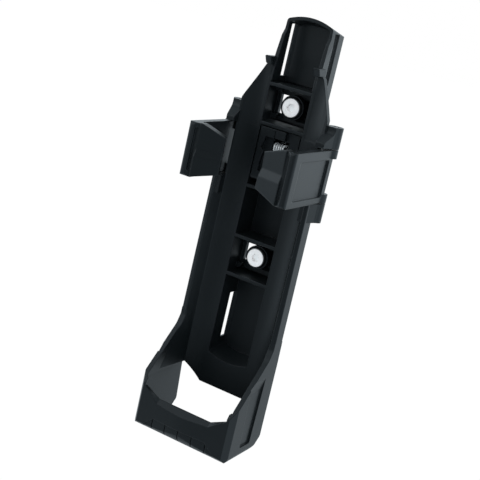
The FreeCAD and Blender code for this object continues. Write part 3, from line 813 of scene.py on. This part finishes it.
@dataclass(frozen=True)
class SoftBox:
    """A square white lamp that looks at the bracket."""

    name: str
    place: Vec3
    size: float
    watts: float
    target: Vec3 = (0.0, -0.02, -0.02)

    def build(self) -> None:
        """Makes the lamp."""
        data = bpy.data.lights.new(self.name, "AREA")
        data.shape = "SQUARE"
        data.size = self.size
        data.energy = self.watts
        lamp = bpy.data.objects.new(self.name, data)
        bpy.context.scene.collection.objects.link(lamp)
        lamp.location = self.place
        aim = Vector(self.target) - Vector(self.place)
        lamp.rotation_euler = aim.to_track_quat("-Z", "Y").to_euler()
        lamp.visible_camera = False


@dataclass(frozen=True)
class Studio:
    """Plain pale floor and white surroundings, both dim in front to a mirror, and soft lamps."""

    floor_drop: float = 0.22
    floor_half: float = 6.0
    floor_colour: Vec3 = (0.84, 0.85, 0.86)
    floor_fade: Span = (0.6, 2.6)
    floor_near: float = 0.54
    floor_glow: float = 1.15
    floor_white: float = 1.02
    floor_cover: float = 0.94
    world_fade: Span = (-0.92, -0.15)
    zenith_fade: Span = (0.25, 0.80)
    zenith_dim: float = 0.75
    front_level: float = 0.10
    rear_level: float = 1.0
    fill_level: float = 1.08
    tint: Vec3 = (0.86, 0.95, 1.0)
    lamps: Tuple[SoftBox, ...] = (
        SoftBox("key_softbox", (-0.95, -0.75, 0.50), 1.40, 3.4),
        SoftBox("top_softbox", (0.10, 0.10, 0.85), 0.60, 1.0),
    )

    def _world(self) -> None:
        """White behind the bracket, dimmer in front of it."""
        world = bpy.data.worlds.new("studio_surroundings")
        bpy.context.scene.world = world
        world.use_nodes = True
        world.node_tree.nodes.clear()
        graph = Graph(world.node_tree)
        direction = graph.add("ShaderNodeTexCoord", output="Generated")
        across = graph.add("ShaderNodeSeparateXYZ", None, {"Vector": direction}, "Y")
        high = across.sibling("Z").step(*self.zenith_fade)
        rear = across.step(*self.world_fade) * (1.0 - self.zenith_dim * high)
        mirrored = self.front_level + rear * (self.rear_level - self.front_level)
        camera_ray = graph.add("ShaderNodeLightPath", output="Is Camera Ray")
        glossy_ray = camera_ray.sibling("Is Glossy Ray")
        seen = (camera_ray + camera_ray.sibling("Is Transmission Ray")).smallest(1.0)
        level = glossy_ray * mirrored + (1.0 - glossy_ray) * self.fill_level
        strength = seen + (1.0 - seen) * level
        colour = graph.blend(seen, self.tint, WHITE)
        back = graph.add("ShaderNodeBackground", None, {"Color": colour, "Strength": strength})
        graph.add("ShaderNodeOutputWorld", None, {"Surface": back})

    def _paper(self) -> bpy.types.Material:
        """The floor's material, white to the eye and faded towards the front in a mirror.

        Returns:
            The material.
        """
        material, graph = new_material("floor_paper")
        paper = graph.add("ShaderNodeBsdfDiffuse", None, {"Color": (*self.floor_colour, 1.0)})
        camera_ray = graph.add("ShaderNodeLightPath", output="Is Camera Ray")
        place = graph.add("ShaderNodeTexCoord", output="Object")
        away = graph.add("ShaderNodeVectorMath", {"operation": "NORMALIZE"}, {0: place})
        fan = graph.add("ShaderNodeSeparateXYZ", None, {"Vector": away}, "Y").step(*self.world_fade)
        rear = graph.add("ShaderNodeSeparateXYZ", None, {"Vector": place}, "Y").step(*self.floor_fade)
        level = (self.floor_near + rear * (1.0 - self.floor_near)) * self.floor_glow
        mirrored = self.front_level + fan * (level - self.front_level)
        glow = camera_ray * self.floor_white + (1.0 - camera_ray) * mirrored
        colour = graph.blend(camera_ray, self.tint, WHITE)
        white = graph.add("ShaderNodeEmission", None, {"Color": colour, "Strength": glow})
        cover = (camera_ray + camera_ray.sibling("Is Glossy Ray")).smallest(1.0) * self.floor_cover
        mixed = graph.add("ShaderNodeMixShader", None, {"Fac": cover, 1: paper, 2: white})
        graph.add("ShaderNodeOutputMaterial", None, {"Surface": mixed})
        return material

    def _floor(self, lowest: float) -> None:
        """Pale floor well below the bracket.

        Args:
            lowest: Height of the bracket's lowest point.
        """
        half, z = self.floor_half, lowest - self.floor_drop
        corners = [(-half, -half, z), (half, -half, z), (half, half, z), (-half, half, z)]
        floor = new_mesh("studio_floor", corners, [(0, 1, 2, 3)])
        paint(floor, self._paper())
        floor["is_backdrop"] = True

    def build(self, lowest: float) -> None:
        """Sets up surroundings, floor, lamps and tone.

        Args:
            lowest: Height of the bracket's lowest point.
        """
        self._world()
        self._floor(lowest)
        for lamp in self.lamps:
            lamp.build()
        bpy.context.scene.view_settings.view_transform = "Standard"
        LOG.info("studio with %d lamps", len(self.lamps))


def plain(corners: Tuple[Vector, Vector]) -> List[List[float]]:
    """Two corners as plain lists.

    Args:
        corners: Lowest and highest corner.

    Returns:
        The same as lists of numbers.
    """
    return [[float(value) for value in corner] for corner in corners]


def main() -> None:
    """Dresses the bracket and sets up the studio."""
    logging.basicConfig(level=logging.INFO, format="%(name)s: %(message)s")
    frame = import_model()
    cad_box = plain(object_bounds())
    nodes = frame["nodes"]
    Mouldings().dress(nodes)
    Pins().dress(nodes)
    PadSpring().build(Body.CRADLE)
    Screws().build(Body.CRADLE)
    PhotoCamera().build()
    Studio().build(cad_box[0][2])


if __name__ == "__main__":
    main()
